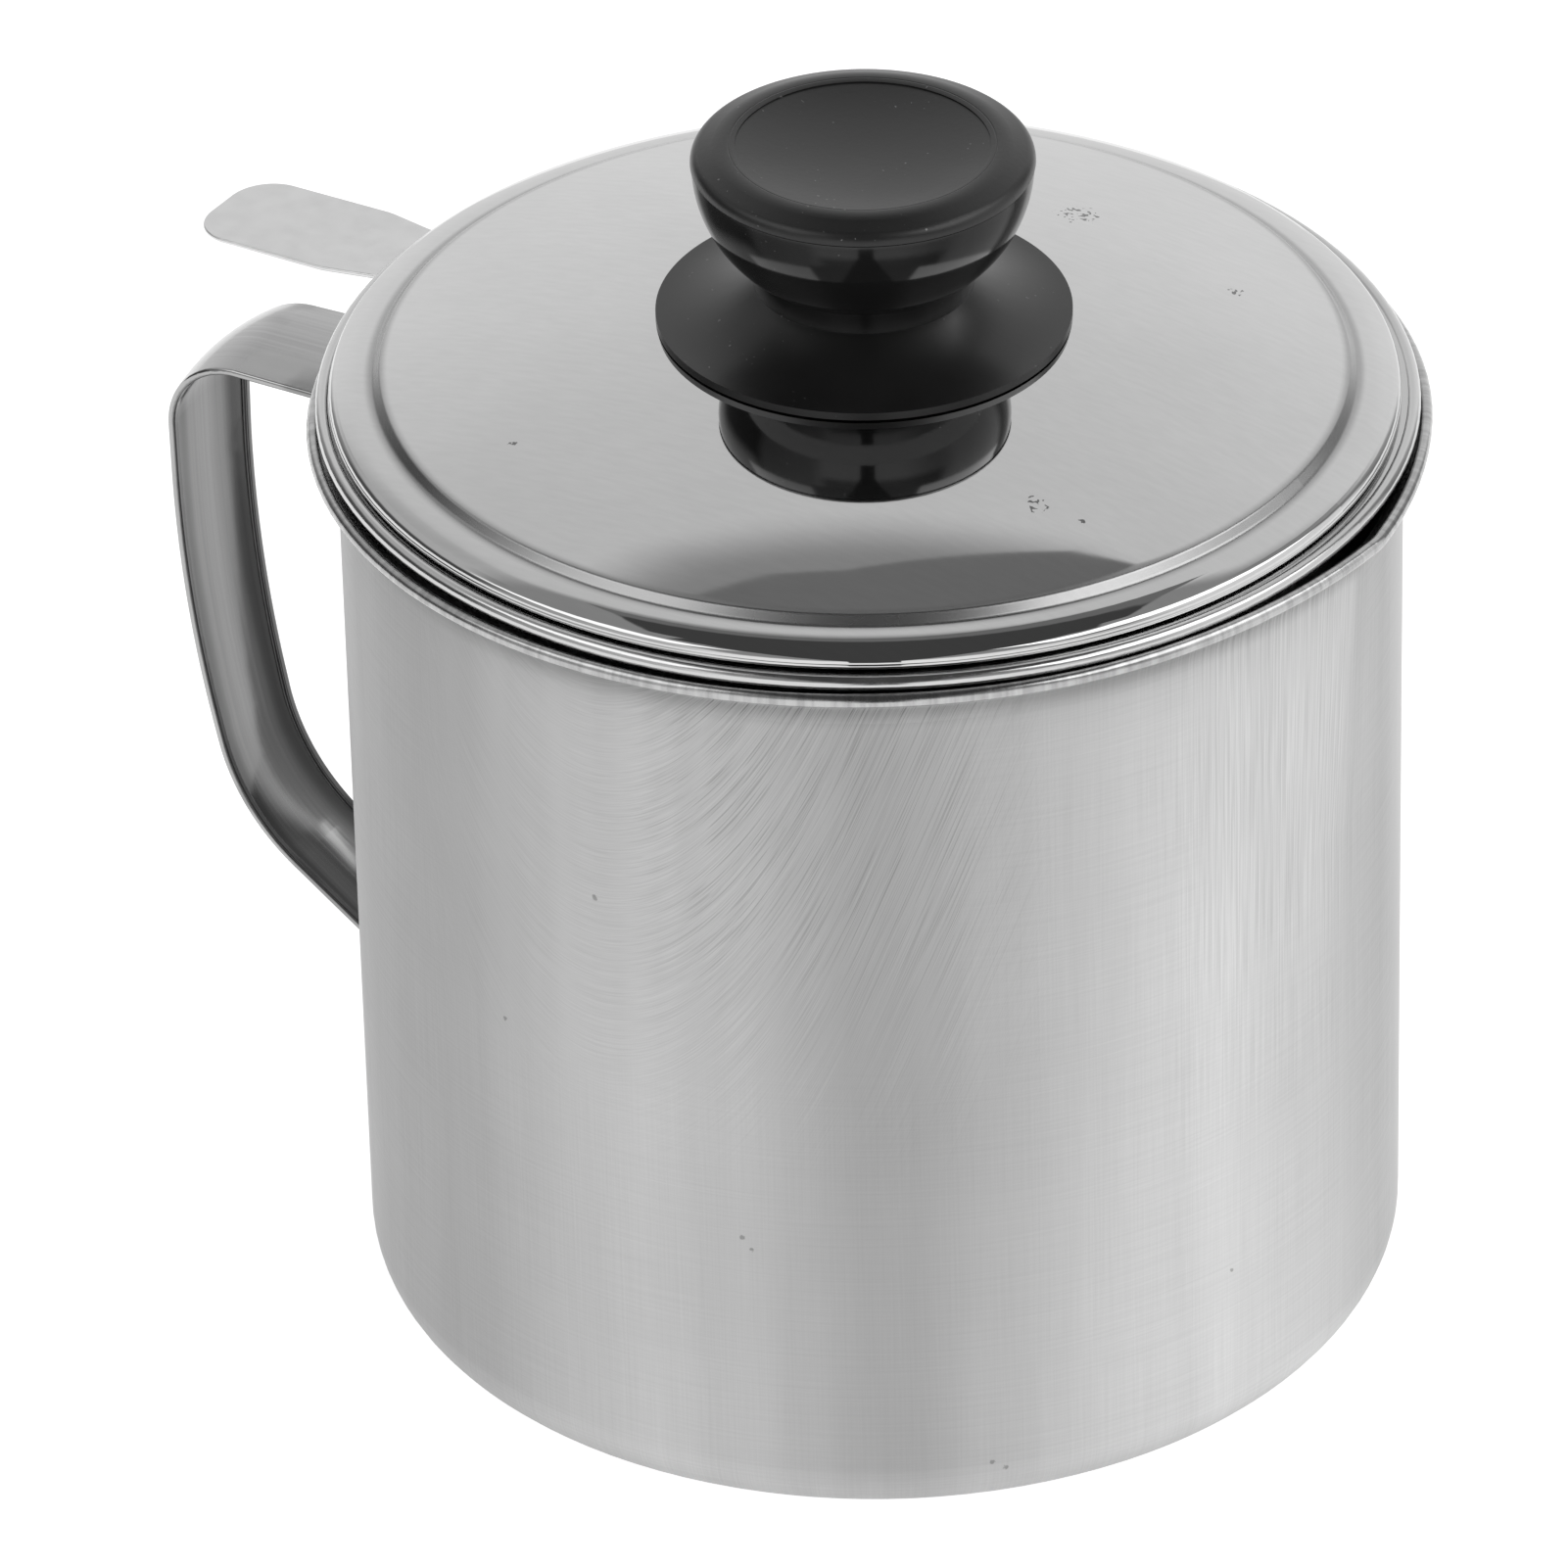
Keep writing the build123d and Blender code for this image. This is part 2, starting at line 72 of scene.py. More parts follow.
def add_camera():
    right, up, ahead = view_axes()
    roll = math.radians(VIEW_ROLL)
    side = math.cos(roll) * right - math.sin(roll) * up
    top = math.sin(roll) * right + math.cos(roll) * up
    data = bpy.data.cameras.new("view")
    data.sensor_width = SENSOR
    data.lens = FOCAL_PIXELS / FRAME_SIDE * SENSOR
    data.clip_end = VIEW_END
    camera = bpy.data.objects.new("view", data)
    place = VIEW_TARGET - VIEW_DISTANCE * ahead + VIEW_OFF[0] * right + VIEW_OFF[1] * up
    camera.matrix_world = Matrix.Translation(place) @ Matrix((side, top, -ahead)).transposed().to_4x4()
    bpy.context.scene.collection.objects.link(camera)
    bpy.context.scene.camera = camera


# ---- node helpers ----

NOISE_LOW, NOISE_HIGH = 0.3, 0.7  # nearly all of a noise lies between these


class Nodes:
    """Adds a tree's nodes one by one, with plain calls for maths, noise and ramps."""

    def __init__(self, tree):
        self.tree = tree

    def add(self, kind, **settings):
        node = self.tree.nodes.new(kind)
        for name, value in settings.items():
            setattr(node, name, value)
        return node

    def link(self, source, socket):
        """A number or tuple is set on the socket, anything else is linked to it."""
        if isinstance(source, (int, float, tuple)):
            socket.default_value = source
        else:
            self.tree.links.new(source, socket)

    def math(self, operation, *values):
        node = self.add("ShaderNodeMath", operation=operation)
        for socket, value in zip(node.inputs, values):
            self.link(value, socket)
        return node.outputs[0]

    def plus(self, first, second):
        return self.math("ADD", first, second)

    def minus(self, first, second):
        return self.math("SUBTRACT", first, second)

    def times(self, first, second):
        return self.math("MULTIPLY", first, second)

    def over(self, first, second):
        return self.math("DIVIDE", first, second)

    def times_plus(self, value, factor, offset):
        return self.math("MULTIPLY_ADD", value, factor, offset)

    def split(self, vector):
        node = self.add("ShaderNodeSeparateXYZ")
        self.link(vector, node.inputs[0])
        return node.outputs

    def join(self, x, y, z=0.0):
        node = self.add("ShaderNodeCombineXYZ")
        for socket, value in zip(node.inputs, (x, y, z)):
            self.link(value, socket)
        return node.outputs[0]

    def vector(self, operation, *values):
        node = self.add("ShaderNodeVectorMath", operation=operation)
        for socket, value in zip(node.inputs, values):
            self.link(value, socket)
        return node.outputs["Value" if operation in ("DOT_PRODUCT", "DISTANCE") else "Vector"]

    def noise(self, vector, scale=1.0, detail=2.0, roughness=0.5):
        node = self.add("ShaderNodeTexNoise")
        self.link(vector, node.inputs["Vector"])
        node.inputs["Scale"].default_value = scale
        node.inputs["Detail"].default_value = detail
        node.inputs["Roughness"].default_value = roughness
        return node.outputs["Fac"]

    def streaked(self, first, second, scales, seed=0.0, **settings):
        """Noise over two coordinates, each with a scale of its own."""
        place = self.join(self.times(first, scales[0]), self.times(second, scales[1]), seed)
        return self.noise(place, **settings)

    def ramp(self, value, low, high, out_low=0.0, out_high=1.0, smooth=True):
        """Value mapped from low..high to out_low..out_high, held at both ends."""
        node = self.add("ShaderNodeMapRange", interpolation_type="SMOOTHSTEP" if smooth else "LINEAR")
        numbers = {"From Min": low, "From Max": high, "To Min": out_low, "To Max": out_high}
        for name, number in numbers.items():
            node.inputs[name].default_value = number
        self.link(value, node.inputs["Value"])
        return node.outputs[0]

    def spread(self, noise, low, high):
        """A noise as a number that mostly lies between low and high."""
        return self.ramp(noise, NOISE_LOW, NOISE_HIGH, low, high, smooth=False)

    def window(self, value, low, high, soft):
        """1 between low and high, falling to 0 over soft to either side of each end."""
        rise = self.ramp(value, low - soft, low + soft)
        return self.times(rise, self.ramp(value, high - soft, high + soft, 1.0, 0.0))

    def mixed(self, amount, first, second):
        return self.times_plus(self.minus(second, first), amount, first)

    def grey(self, value):
        node = self.add("ShaderNodeCombineColor")
        for socket in node.inputs:
            self.link(value, socket)
        return node.outputs[0]

    def curve(self, value, stops):
        """Smooth grey curve through (position, grey) stops."""
        node = self.add("ShaderNodeValToRGB")
        node.color_ramp.interpolation = "EASE"
        elements = node.color_ramp.elements
        while len(elements) < len(stops):
            elements.new(0.5)
        for element, (position, grey) in zip(elements, stops):
            element.position = position
            element.color = (grey, grey, grey, 1.0)
        self.link(value, node.inputs["Fac"])
        return node.outputs["Color"]


class Shader(Nodes):
    """A material and its Principled shader."""

    def __init__(self, name):
        self.material = bpy.data.materials.new(name)
        self.material.use_nodes = True
        super().__init__(self.material.node_tree)
        self.surface = self.tree.nodes["Principled BSDF"]
        self.coordinates = self.add("ShaderNodeTexCoord").outputs["Object"]

    def set(self, **values):
        for name, value in values.items():
            self.link(value, self.surface.inputs[name.replace("_", " ")])

    def bump(self, height, distance, strength):
        node = self.add("ShaderNodeBump")
        node.inputs["Strength"].default_value = strength
        node.inputs["Distance"].default_value = distance
        self.link(height, node.inputs["Height"])
        self.link(node.outputs[0], self.surface.inputs["Normal"])

    def brushed(self, amount, turn):
        """Stretched highlights. The tangent runs round the Z axis, turned by that part of a circle."""
        tangent = self.add("ShaderNodeTangent", direction_type="RADIAL", axis="Z")
        self.link(tangent.outputs[0], self.surface.inputs["Tangent"])
        self.surface.inputs["Anisotropic"].default_value = amount
        self.surface.inputs["Anisotropic Rotation"].default_value = turn

    def unrolled(self):
        """(arc length round the can's wall, height)."""
        x, y, z = self.split(self.coordinates)
        return self.times(self.math("ARCTAN2", y, x), CAN_RADIUS), z

    def from_middle(self, place, box):
        """Distance in plan from the middle of that box."""
        low, high = box
        middle = ((low.x + high.x) / 2, (low.y + high.y) / 2, 0.0)
        return self.vector("DISTANCE", place, middle)


# ---- the can ----

POLISH_ANGLE = math.radians(-88)  # lowest point of the polishing wheel's curved marks on the wall
POLISH_SLOPE = 0.35  # of a mark there, in metres of height for each metre round the wall
POLISH_CURVE = 39.0
POLISH_STRAIGHT = 0.027  # the marks run straight beyond this arc length
POLISH_SIDES = (-0.028, 0.043, 0.012)  # their begin and end from the lowest point, and softness
POLISH_RISE = (0.038, 0.070)  # heights over which they set in
SCRATCH_SIDES = (0.004, 0.042, 0.008)
SCRATCH_RISE = (0.060, 0.086)
UPRIGHT_SIDES = (-0.028, 0.002, 0.006)  # begin and end of the upright marks from azimuth 0, and softness
UPRIGHT_RISE = (0.030, 0.080)
MARK_DEPTH = 0.08  # change of tone that the marks give
STRONG_DEPTH = 0.065  # more of it, where they are strongest
STRONG_RISE = (-0.01, 0.02)  # arc lengths from the lowest point over which that sets in
UNEVEN = 0.03  # change of tone that clouds and bands give
SCRATCH_LOSS = 0.22  # of tone, like the losses below
# Scales of the marks' noise: across the marks and along them, or round the wall and upwards
ARC_SCALES = (4600, 120)
SCRATCH_SCALES = (3600, 170)
LINE_SCALES = (3900, 50)
HOOP_SCALES = (50, 3000)
BAND_SCALES = (160, 9)
NOTCH_SCALES = (1100, 60)
RIM_Z = 0.1075  # above this the can is flared and polished
# Painted shade just under the rim: the wall's tone falls over these heights.
UNDER_RIM = (RIM_Z - 2.5 * MM, RIM_Z + 1.0 * MM)
UNDER_RIM_PAINTED_SHADE = 0.42
RIM_POLISH = (RIM_Z + 0.5 * MM, RIM_Z + 1.7 * MM)
RIM_TONE = (0.38, 0.50)
RIM_ROUGH = 0.16
# Painted shade near the base: the wall darkens towards the floor over these heights.
BASE = (0.0, 7.0 * MM)
BASE_PAINTED_SHADE = 0.34
WALL_TONE = 0.71
WALL_ROUGH = (0.54, 0.62)
WALL_BRUSHED = (0.95, 0.25)  # amount, and turn as part of a circle
PIT_LOSS = 0.4
PIT_WOBBLE = 0.6 * MM
WALL_PITS = (  # azimuth in degrees, height and radius in mm
    (-92.0, 79.0, 0.45), (-105.0, 58.0, 0.35), (-76.0, 38.0, 0.4), (-75.0, 36.5, 0.3),
    (-48.0, 6.5, 0.4), (-49.5, 7.5, 0.3), (-20.0, 24.0, 0.3), (35.0, 61.0, 0.4),
    (120.0, 43.0, 0.4), (205.0, 70.0, 0.35),
)


def wall_marks(s, along, z):
    """(grain of the polishing marks, its depth, dark scratches among them)"""
    out = s.minus(along, POLISH_ANGLE * CAN_RADIUS)
    bent = s.math("MINIMUM", out, POLISH_STRAIGHT)
    sag = s.times(s.times(bent, POLISH_CURVE), s.times_plus(out, 2.0, s.times(bent, -1.0)))
    across = s.minus(s.times_plus(out, -POLISH_SLOPE, z), sag)
    arcs = s.streaked(across, out, ARC_SCALES, detail=2, roughness=0.6)
    scratches = s.streaked(across, out, SCRATCH_SCALES, seed=7.3, detail=1)
    arc_mask = s.times(s.window(out, *POLISH_SIDES), s.ramp(z, *POLISH_RISE))
    lines = s.streaked(along, z, LINE_SCALES, detail=2, roughness=0.6)
    hoops = s.streaked(along, z, HOOP_SCALES, detail=2, roughness=0.6)
    upright = s.times(s.window(along, *UPRIGHT_SIDES), s.ramp(z, *UPRIGHT_RISE))
    marks = s.mixed(s.times_plus(upright, 0.5, 0.5), hoops, lines)
    marks = s.mixed(arc_mask, marks, arcs)
    streaks = s.times(s.ramp(scratches, 0.55, 0.68), s.window(out, *SCRATCH_SIDES))
    streaks = s.times(streaks, s.ramp(z, *SCRATCH_RISE))
    strong = s.math("MAXIMUM", s.times(arc_mask, s.ramp(out, *STRONG_RISE)), upright)
    return marks, s.times_plus(strong, STRONG_DEPTH, MARK_DEPTH), streaks


def can_steel():
    """Satin steel: curved polishing marks on one side, a fine cross-hatch elsewhere, polished rim, and
    painted shade under the rim and near the base.
    """
    s = Shader("can_steel")
    along, z = s.unrolled()
    marks, depth, streaks = wall_marks(s, along, z)
    cloud = s.noise(s.coordinates, scale=30, detail=3)
    bands = s.streaked(along, z, BAND_SCALES, seed=3.1, detail=2)
    shade = s.times(s.spread(marks, -1.0, 1.0), depth)
    shade = s.plus(shade, s.spread(cloud, -UNEVEN, UNEVEN))
    shade = s.plus(shade, s.spread(bands, -UNEVEN, UNEVEN))
    shade = s.times_plus(streaks, -SCRATCH_LOSS, shade)
    unrolled = s.join(along, z)
    wobble = s.times(s.minus(s.noise(s.coordinates, scale=2500), 0.5), PIT_WOBBLE)
    for azimuth, height, size in WALL_PITS:
        centre = (math.radians(azimuth) * CAN_RADIUS, height * MM, 0.0)
        away = s.plus(s.vector("DISTANCE", unrolled, centre), wobble)
        shade = s.plus(shade, s.ramp(away, size * 0.5 * MM, size * MM, -PIT_LOSS, 0.0))
    # painted shade just under the rim
    shade = s.plus(shade, s.ramp(z, *UNDER_RIM, 0.0, -UNDER_RIM_PAINTED_SHADE))
    # painted shade towards the base
    shade = s.plus(shade, s.ramp(z, *BASE, -BASE_PAINTED_SHADE, 0.0))
    tone = s.times_plus(shade, WALL_TONE, WALL_TONE)
    rim = s.ramp(z, *RIM_POLISH)
    notches = s.streaked(along, z, NOTCH_SCALES, seed=5.0, detail=2)
    rim_tone = s.ramp(notches, 0.35, 0.65, *RIM_TONE, smooth=False)
    s.set(Base_Color=s.grey(s.mixed(rim, tone, rim_tone)), Metallic=1.0)
    s.set(Roughness=s.mixed(rim, s.spread(marks, *WALL_ROUGH), RIM_ROUGH))
    s.brushed(*WALL_BRUSHED)
    s.bump(marks, 0.012 * MM, 0.4)
    return s.material


# ---- handle, lid and small steel parts ----


def polished_steel(name, tone, rough, spread):
    """Polished steel with scuffs. Its roughness lies between rough and rough + spread."""
    s = Shader(name)
    scuffs = s.noise(s.coordinates, scale=400, detail=4, roughness=0.6)
    cloud = s.noise(s.coordinates, scale=30, detail=3)
    s.set(Base_Color=s.grey(s.spread(cloud, tone - 0.015, tone + 0.015)), Metallic=1.0)
    s.set(Roughness=s.ramp(scuffs, 0.35, 0.7, rough, rough + spread, smooth=False))
    s.bump(scuffs, 0.004 * MM, 0.4)
    return s.material


HANDLE_MIDDLE = (-0.067, 0.0, 0.060)  # inside the loop
HANDLE_FACING = (-0.1, 0.3)  # cosine to the loop's inside, between the strap's back and its inner side
HANDLE_HALF = 9.0  # mm, about half of the strap's width near its top
# (mm from the strap's middle line, tone of its inner side): painted shade and painted reflections in
# bands across the inner side.
HANDLE_INSIDE_PAINTED_SHADE = ((0.0, 0.60), (3.0, 0.50), (5.5, 0.22), (7.0, 0.28), (9.0, 0.55))
HANDLE_BACK_PAINTED_SHADE = (1.0, 0.74)  # tone of the strap's back on the grip, and its painted shade near the can
HANDLE_BACK_X = (-0.078, -0.070)  # x between which it changes
HANDLE_TONE = (0.38, 0.44)
HANDLE_ROUGH = (0.10, 0.18)


def handle_steel():
    """Polished strap with fine lines along its length, which run in its X and Z directions. Its inner
    side and its back near the can carry painted shade and painted reflections.
    """
    s = Shader("handle_steel")
    x, y, z = s.split(s.coordinates)
    lines = s.noise(s.join(s.times(y, 2200), s.times(x, 25), s.times(z, 25)), detail=3)
    cloud = s.noise(s.coordinates, scale=60, detail=3)
    inward = s.vector("SUBTRACT", HANDLE_MIDDLE, s.coordinates)
    normal = s.add("ShaderNodeTexCoord").outputs["Normal"]
    facing = s.vector("DOT_PRODUCT", s.vector("NORMALIZE", inward), normal)
    inside = s.ramp(facing, *HANDLE_FACING)
    waver = s.times(s.minus(cloud, 0.5), 0.08)
    place = s.times_plus(s.math("ABSOLUTE", y), 1 / (HANDLE_HALF * MM), waver)
    # painted shade and painted reflections across the strap's inner side
    bands = s.curve(place, [(across / HANDLE_HALF, tone) for across, tone in HANDLE_INSIDE_PAINTED_SHADE])
    # painted shade on the strap's back near the can
    outside = s.ramp(s.plus(x, waver), *HANDLE_BACK_X, *HANDLE_BACK_PAINTED_SHADE)
    tone = s.times(s.spread(lines, *HANDLE_TONE), s.mixed(inside, outside, bands))
    s.set(Base_Color=s.grey(tone), Metallic=1.0)
    s.set(Roughness=s.spread(lines, *HANDLE_ROUGH))
    s.bump(lines, 0.006 * MM, 0.4)
    return s.material


LID_TONE = (0.585, 0.625)
LID_ROUGH = (0.016, 0.042)
HAZE_TONE = 0.012
HAZE_SCALES = (300, 1500, 900)
CREASE = (0.0540, 0.0558, 0.6 * MM)  # nearest and furthest from the lid's middle, and softness
CREASE_ROUGH = 0.24  # added there
CREASE_PAINTED_SHADE = 0.42  # of tone: painted shade in the crease
DOT_TONE = 0.22  # in the pits of the spots
DOT_ROUGH = 0.35  # added there
LID_PITS = (  # x, y and size of the pitted spots, in mm
    (31.5, 28.8, 1.3), (33.7, -23.2, 1.7), (8.9, 33.3, 3.2), (39.0, -22.5, 0.6),
    (-24.0, -38.0, 1.0), (-18.0, 30.0, 0.8),
)


def lid_steel():
    """Mirror-polished steel with a faint haze, a few pitted spots and a duller crease that carries
    painted shade.
    """
    s = Shader("lid_steel")
    x, y, z = s.split(s.coordinates)
    cloud = s.noise(s.coordinates, scale=26, detail=4, roughness=0.6)
    haze = s.noise(s.vector("MULTIPLY", s.coordinates, HAZE_SCALES), detail=3)
    grain = s.noise(s.coordinates, scale=1700, detail=1)
    flat = s.join(x, y)
    spots = 0.0
    for centre_x, centre_y, size in LID_PITS:
        away = s.vector("DISTANCE", flat, (centre_x * MM, centre_y * MM, 0.0))
        spots = s.math("MAXIMUM", spots, s.ramp(away, size * 0.4 * MM, size * MM, 1.0, 0.0))
    dots = s.ramp(s.times_plus(spots, 0.13, grain), 0.68, 0.72)
    dots = s.times(dots, s.ramp(spots, 0.0, 0.2))
    tone = s.plus(s.spread(cloud, *LID_TONE), s.spread(haze, -HAZE_TONE, HAZE_TONE))
    crease = s.window(s.from_middle(flat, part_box("lid_shell")), *CREASE)
    rough = s.times_plus(crease, CREASE_ROUGH, s.spread(cloud, *LID_ROUGH))
    # painted shade in the crease
    tone = s.times(tone, s.times_plus(crease, -CREASE_PAINTED_SHADE, 1.0))
    s.set(Base_Color=s.grey(s.mixed(dots, tone, DOT_TONE)), Metallic=1.0)
    s.set(Roughness=s.times_plus(dots, DOT_ROUGH, rough))
    s.bump(s.times_plus(dots, -3.0, haze), 0.001 * MM, 0.15)
    return s.material


def brass():
    s = Shader("insert_brass")
    lines = s.noise(s.vector("MULTIPLY", s.coordinates, (200, 200, 4000)), detail=2)
    s.set(Base_Color=(0.60, 0.46, 0.20, 1.0), Metallic=1.0)
    s.set(Roughness=s.spread(lines, 0.25, 0.4))
    s.bump(lines, 0.01 * MM, 0.5)
    return s.material


# ---- knob ----

DISH_RING = 14.9 * MM  # radius of the fine groove round the cap's dish
RING_HALF = 0.08 * MM
RING_SOFT = 0.05 * MM
RING_DEPTH = 6.0  # for a grain 1 deep
PLASTIC_TONE = (0.006, 0.010)
FLECK_TONE = 0.16
FLECKS = (0.80, 0.84)  # the dust's noise between no fleck and a full one
DUSTY = (0.52, 0.62)  # a wider noise, between clean and dusty places


def black_plastic(name, rough, grain_scale, grain_depth, dust_amount, ring=None):
    """Moulded plastic. The dust shows as tiny pale flecks, and ring is the radius of a fine groove."""
    s = Shader(name)
    grain = s.noise(s.coordinates, scale=grain_scale, detail=3)
    cloud = s.noise(s.coordinates, scale=60, detail=3)
    dust = s.noise(s.coordinates, scale=2300, detail=0)
    where = s.noise(s.coordinates, scale=140, detail=1)
    flecks = s.times(s.ramp(dust, *FLECKS), s.ramp(where, *DUSTY, 0.0, dust_amount))
    s.set(Base_Color=s.grey(s.mixed(flecks, s.spread(cloud, *PLASTIC_TONE), FLECK_TONE)))
    s.set(Roughness=s.spread(cloud, rough - 0.03, rough + 0.04))
    if ring:
        x, y, z = s.split(s.coordinates)
        away = s.from_middle(s.join(x, y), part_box("knob_cap"))
        groove = s.window(away, ring - RING_HALF, ring + RING_HALF, RING_SOFT)
        grain = s.times_plus(groove, -RING_DEPTH, grain)
    s.bump(grain, grain_depth, 0.5)
    return s.material


# ---- woven wire mesh ----

WIRE = 0.2 * MM
WIRE_PITCH = 1.2 * MM
WIRE_WAVE = 0.07 * MM
WIRE_SIDES = 5


def mesh_plane():
    """Centre, normal and radius of the strainer's mesh disc, which is tilted."""
    points = np.array([v.co for v in nodes["strainer_mesh"].data.vertices])
    centre = (points.min(0) + points.max(0)) / 2
    normal = np.linalg.svd(points - points.mean(0), full_matrices=False)[2][2]
    normal *= np.sign(normal[2])
    return centre, normal, np.linalg.norm(points - centre, axis=1).max() - WIRE


def add_wire(verts, faces, line, ring, order):
    """A closed wire along the points of line. The ring's points are taken in that order."""
    base = len(verts)
    verts.extend((line[:, None, :] + ring[None, :, :]).reshape(-1, 3).tolist())
    for i in range(len(line) - 1):
        low, high = base + i * WIRE_SIDES, base + (i + 1) * WIRE_SIDES
        for a, b in zip(order, order[1:] + order[:1]):
            faces.append((low + b, low + a, high + a, high + b))
    last = base + (len(line) - 1) * WIRE_SIDES
    faces.append(tuple(base + a for a in order))
    faces.append(tuple(last + a for a in reversed(order)))


def weave_mesh(material):
    """Plain-woven wire cloth in place of the strainer's mesh disc, in the disc's own plane."""
    centre, normal, radius = mesh_plane()
    first = np.cross((0, 1, 0), normal)
    first /= np.linalg.norm(first)
    second = np.cross(normal, first)
    turns = np.arange(WIRE_SIDES) * math.tau / WIRE_SIDES
    verts, faces = [], []
    count = int(radius / WIRE_PITCH)
    for run, aside, over in ((first, second, 1), (second, first, -1)):
        ring = WIRE / 2 * (np.outer(np.cos(turns), aside) + np.outer(np.sin(turns), normal))
        order = list(range(WIRE_SIDES))[::over]
        for k in range(-count, count + 1):
            half = math.sqrt(radius ** 2 - (k * WIRE_PITCH) ** 2)
            steps = int(half / (WIRE_PITCH / 2))
            if not steps:
                continue
            along = np.arange(-steps, steps + 1) * WIRE_PITCH / 2
            wave = over * (-1) ** k * WIRE_WAVE * np.cos(math.pi * along / WIRE_PITCH)
            line = centre + np.outer(along, run) + k * WIRE_PITCH * aside + np.outer(wave, normal)
            add_wire(verts, faces, line, ring, order)
    mesh = bpy.data.meshes.new("wire_mesh")
    mesh.from_pydata(verts, [], faces)
    mesh.shade_smooth()
    mesh.materials.append(material)
    cloth = bpy.data.objects.new("wire_mesh", mesh)
    bpy.context.scene.collection.objects.link(cloth)
    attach(cloth, "strainer")
    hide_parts("strainer_mesh")


def paint(node, material):
    mesh = nodes[node].data
    mesh.materials.clear()
    mesh.materials.append(material)


def paint_all():
    strainer = polished_steel("strainer_steel", tone=0.58, rough=0.10, spread=0.10)
    screw = polished_steel("screw_steel", tone=0.55, rough=0.22, spread=0.12)
    gloss = black_plastic("knob_gloss", 0.10, grain_scale=1500, grain_depth=0.001 * MM, dust_amount=0.5)
    satin = black_plastic("knob_satin", 0.30, grain_scale=1300, grain_depth=0.008 * MM, dust_amount=0.7)
    dished = black_plastic(
        "knob_dished", 0.36, grain_scale=1500, grain_depth=0.025 * MM, dust_amount=1.0, ring=DISH_RING
    )
    paint("can_body", can_steel())
    paint("handle", handle_steel())
    paint("strainer_bowl", strainer)
    paint("mesh_ring", strainer)
    paint("strainer_tab", polished_steel("tab_steel", tone=0.72, rough=0.30, spread=0.12))
    paint("lid_shell", lid_steel())
    paint("knob_body", gloss)
    paint("knob_skirt", satin)
    paint("knob_cap", dished)
    paint("knob_insert", brass())
    paint("screw_washer", screw)
    paint("lid_screw", screw)
    weave_mesh(polished_steel("mesh_steel", tone=0.5, rough=0.25, spread=0.1))


# ---- studio ----

FLOOR_SIDE = 8
FLOOR_GLOW = 0.92


def add_floor():
    """Pale light table."""
    bpy.ops.mesh.primitive_plane_add(size=FLOOR_SIDE)
    floor = bpy.context.object
    floor.name = "floor"
    s = Shader("floor_pale")
    cloud = s.noise(s.coordinates, scale=3, detail=2)
    s.set(Base_Color=s.grey(s.ramp(cloud, 0.2, 0.8, 0.34, 0.36)), Roughness=0.9)
    s.surface.inputs["Specular IOR Level"].default_value = 0.0
    s.surface.inputs["Emission Color"].default_value = (1.0, 1.0, 1.0, 1.0)
    s.surface.inputs["Emission Strength"].default_value = FLOOR_GLOW
    floor.data.materials.append(s.material)


# Brightness of the studio's walls by direction, in degrees about Z from the camera, right is positive.
STUDIO_WALLS = (
    (-180, 0.92), (-155, 0.92), (-142, 0.32), (-126, 0.10), (-88, 0.08), (-76, 0.44), (-42, 0.64),
    (-28, 1.20), (20, 1.20), (54, 0.66), (72, 0.98), (112, 1.0), (124, 0.26), (136, 0.40), (147, 1.0),
    (180, 0.92),
)
WALLS_PEAK = 4.0  # the curve's stops hold 0 to 1
# A rise is in degrees above the horizon. Sides are in turns from the camera and end in a softness.
REAR_LOSS = 0.20  # of brightness, high on the walls behind the object
REAR_NEAR = (-0.5, -0.2)  # part of the direction that points to the camera
REAR_RISE = (12.0, 56.0)
FRONT_LOSS = 0.65  # of brightness, high on the walls on the camera's side
FRONT_SIDES = (-0.09, 0.16, 0.015)
FRONT_RISE = (14.0, 26.0)
LEFT_TONE = 0.60  # brightness high up on the left
LEFT_SIDES = (-0.42, -0.24, 0.03)
LEFT_RISE = (20.0, 36.0)
CEILING_TONE = 0.34
CEILING_SLOPE = 17.0  # degrees by which the ceiling starts lower on the camera's side
CEILING_RISE = (42.0, 48.0)
# The card lies flat above the object. Places on it are for each unit of height.
CARD_LOWEST = 0.3
CARD_SLANT = 0.33  # of its far edge, to the right of the middle
CARD_EDGE = (-0.626, -0.620)  # towards the camera
CARD_SIDES = (-0.25, 0.34, 0.006)  # across
CARD_FADE = (-0.53, -0.48)  # towards the camera
CARD_TONES = (0.20, 0.07)  # at its far edge and nearer the camera
SOFTBOX_RISE = (37.0, 66.0, 2.0)
SOFTBOXES = ((-100, -42, 1.7), (42, 120, 2.4))  # start and end in degrees, and brightness
SOFTBOX_EDGE = 0.006


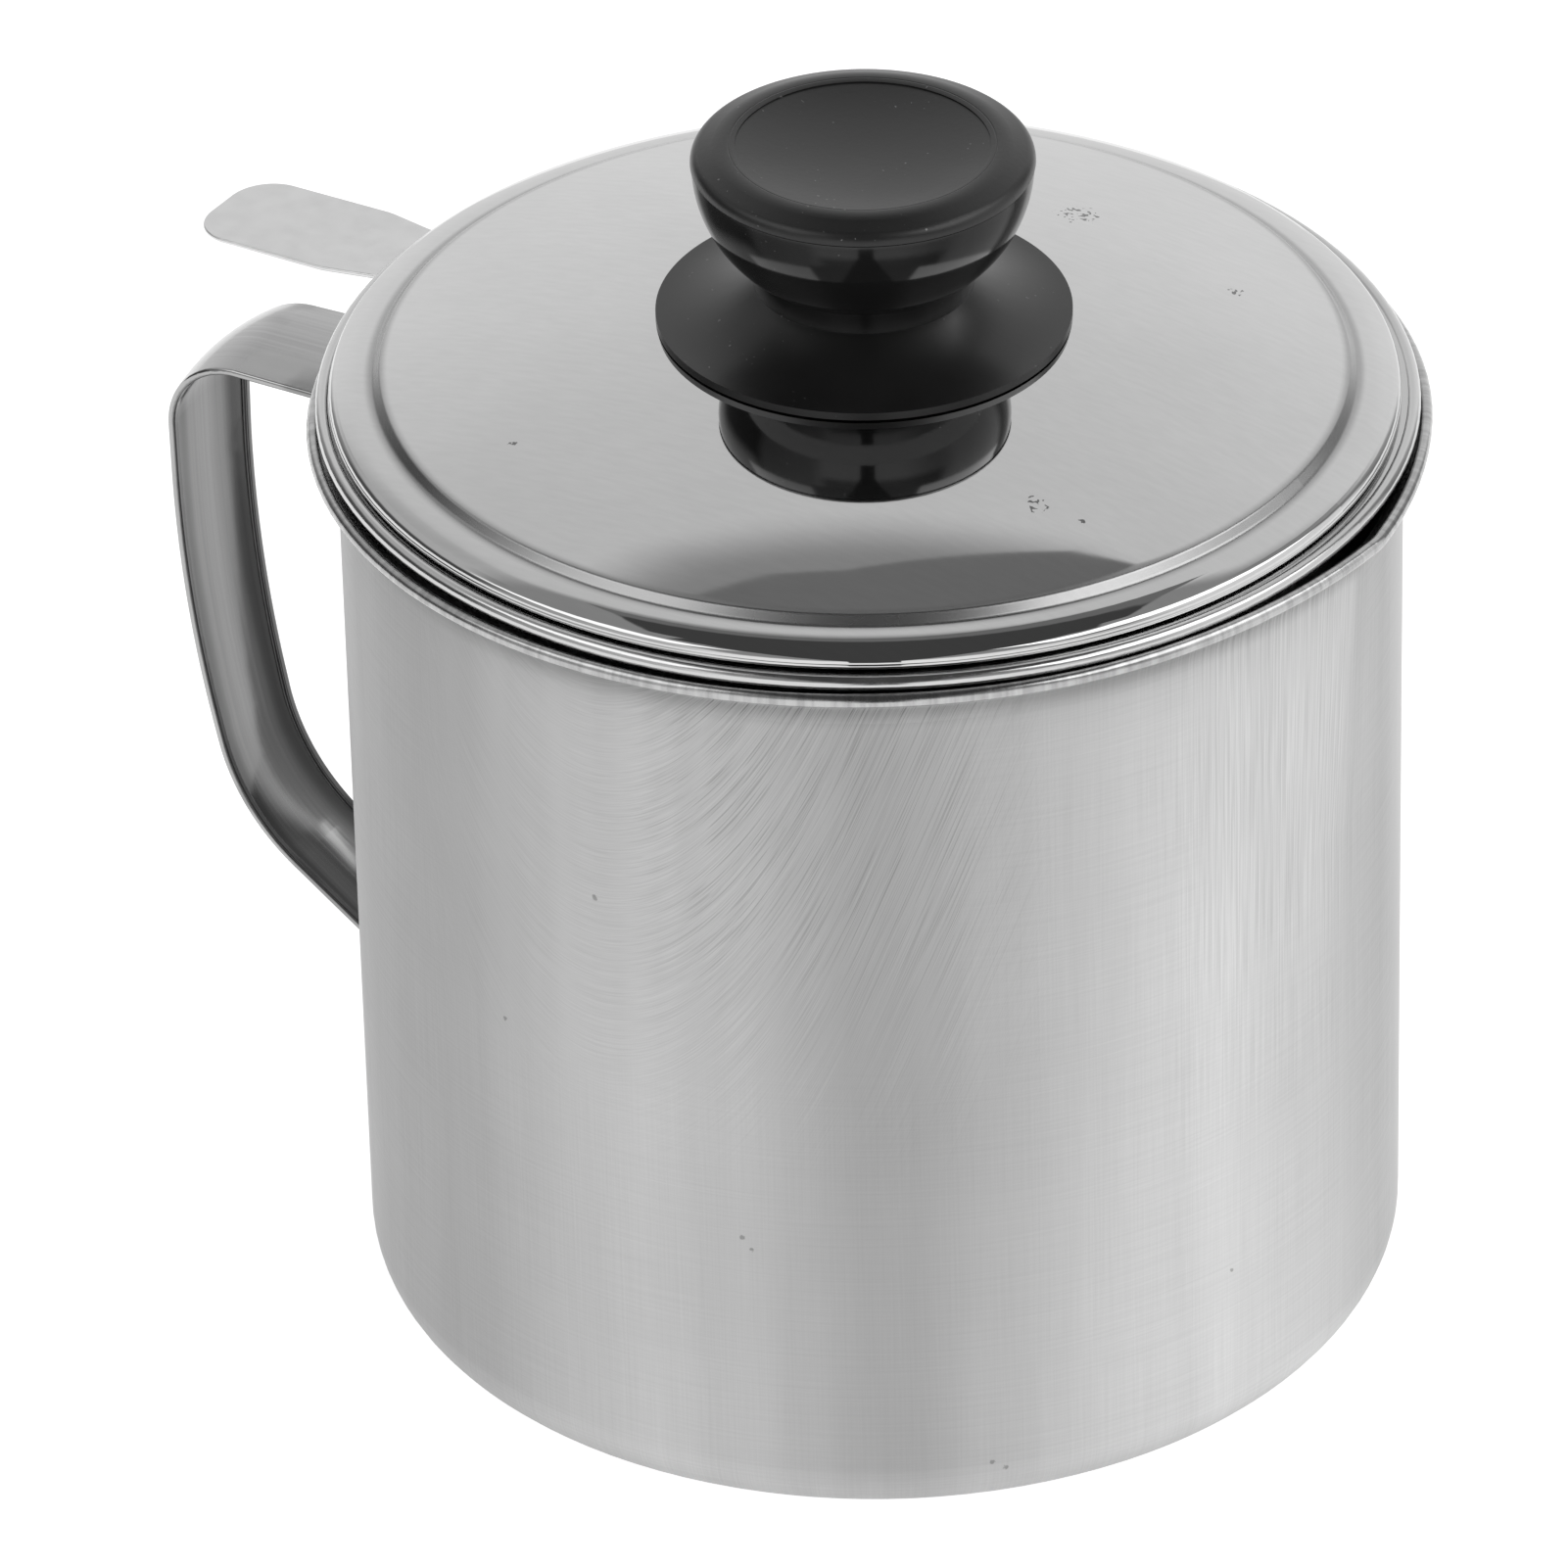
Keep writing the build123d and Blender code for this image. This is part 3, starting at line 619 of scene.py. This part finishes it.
def add_world():
    """White studio: unevenly bright walls, a darker ceiling, a dark card and two tall softboxes."""
    world = bpy.data.worlds.new("studio")
    bpy.context.scene.world = world
    world.use_nodes = True
    s = Nodes(world.node_tree)
    x, y, z = s.split(s.add("ShaderNodeTexCoord").outputs["Generated"])
    right = view_axes()[0]
    side = s.plus(s.times(x, right.x), s.times(y, right.y))
    near = s.plus(s.times(x, right.y), s.times(y, -right.x))
    turn = s.over(s.math("ARCTAN2", side, near), math.tau)
    stops = [(azimuth / 360 + 0.5, value / WALLS_PEAK) for azimuth, value in STUDIO_WALLS]
    walls = s.times(s.curve(s.plus(turn, 0.5), stops), WALLS_PEAK)
    rise = s.math("DEGREES", s.math("ARCSINE", z))
    rear = s.times(s.ramp(near, *REAR_NEAR, 1.0, 0.0), s.ramp(rise, *REAR_RISE))
    walls = s.times(walls, s.times_plus(rear, -REAR_LOSS, 1.0))
    front = s.times(s.ramp(rise, *FRONT_RISE), s.window(turn, *FRONT_SIDES))
    walls = s.times(walls, s.times_plus(front, -FRONT_LOSS, 1.0))
    high_left = s.times(s.ramp(rise, *LEFT_RISE), s.window(turn, *LEFT_SIDES))
    walls = s.mixed(high_left, walls, LEFT_TONE)
    ceiling = s.ramp(s.times_plus(near, CEILING_SLOPE, rise), *CEILING_RISE)
    height = s.math("MAXIMUM", z, CARD_LOWEST)
    across, towards = s.over(side, height), s.over(near, height)
    slant = s.times_plus(s.math("MAXIMUM", across, 0.0), CARD_SLANT, towards)
    card = s.times(s.ramp(slant, *CARD_EDGE), s.window(across, *CARD_SIDES))
    card_tone = s.ramp(towards, *CARD_FADE, *CARD_TONES)
    value = s.mixed(ceiling, walls, CEILING_TONE)
    value = s.mixed(card, value, card_tone)
    tall = s.window(rise, *SOFTBOX_RISE)
    for start, end, brightness in SOFTBOXES:
        lit = s.times(tall, s.window(turn, start / 360, end / 360, SOFTBOX_EDGE))
        value = s.mixed(lit, value, brightness)
    s.link(s.grey(value), world.node_tree.nodes["Background"].inputs["Color"])


add_camera()
paint_all()
add_floor()
add_world()
bpy.context.scene.view_settings.view_transform = "Standard"
